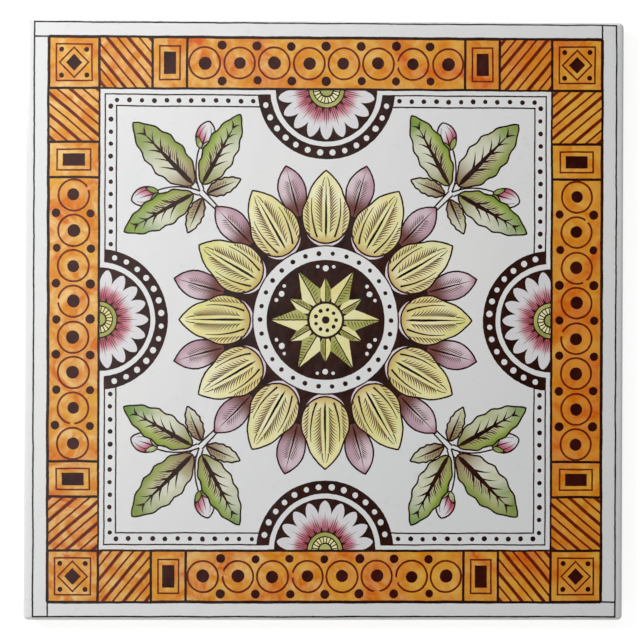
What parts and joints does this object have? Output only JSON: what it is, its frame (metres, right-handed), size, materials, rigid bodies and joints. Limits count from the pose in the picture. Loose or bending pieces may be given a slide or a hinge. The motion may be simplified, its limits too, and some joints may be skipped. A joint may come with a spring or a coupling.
{
  "type": "decorative tile",
  "caption": "Square glazed ceramic wall tile, glossy and printed on the face, with a lightly rounded face edge, drafted sides and a keyed back of shallow pockets.",
  "frame": {"origin": "centre of the plane that the back's ribs rest on", "axes": "+Z out of the glazed face, +Y towards the print's top edge, +X to the right as the face is looked at"},
  "size_m": [0.152, 0.152, 0.006],
  "materials": {
    "glazed_tile": "clear gloss glaze over a printed decoration; bare fired body at the back"
  },
  "bodies": {
    "root": {"tile": "glazed_tile"}
  },
  "joints": []
}
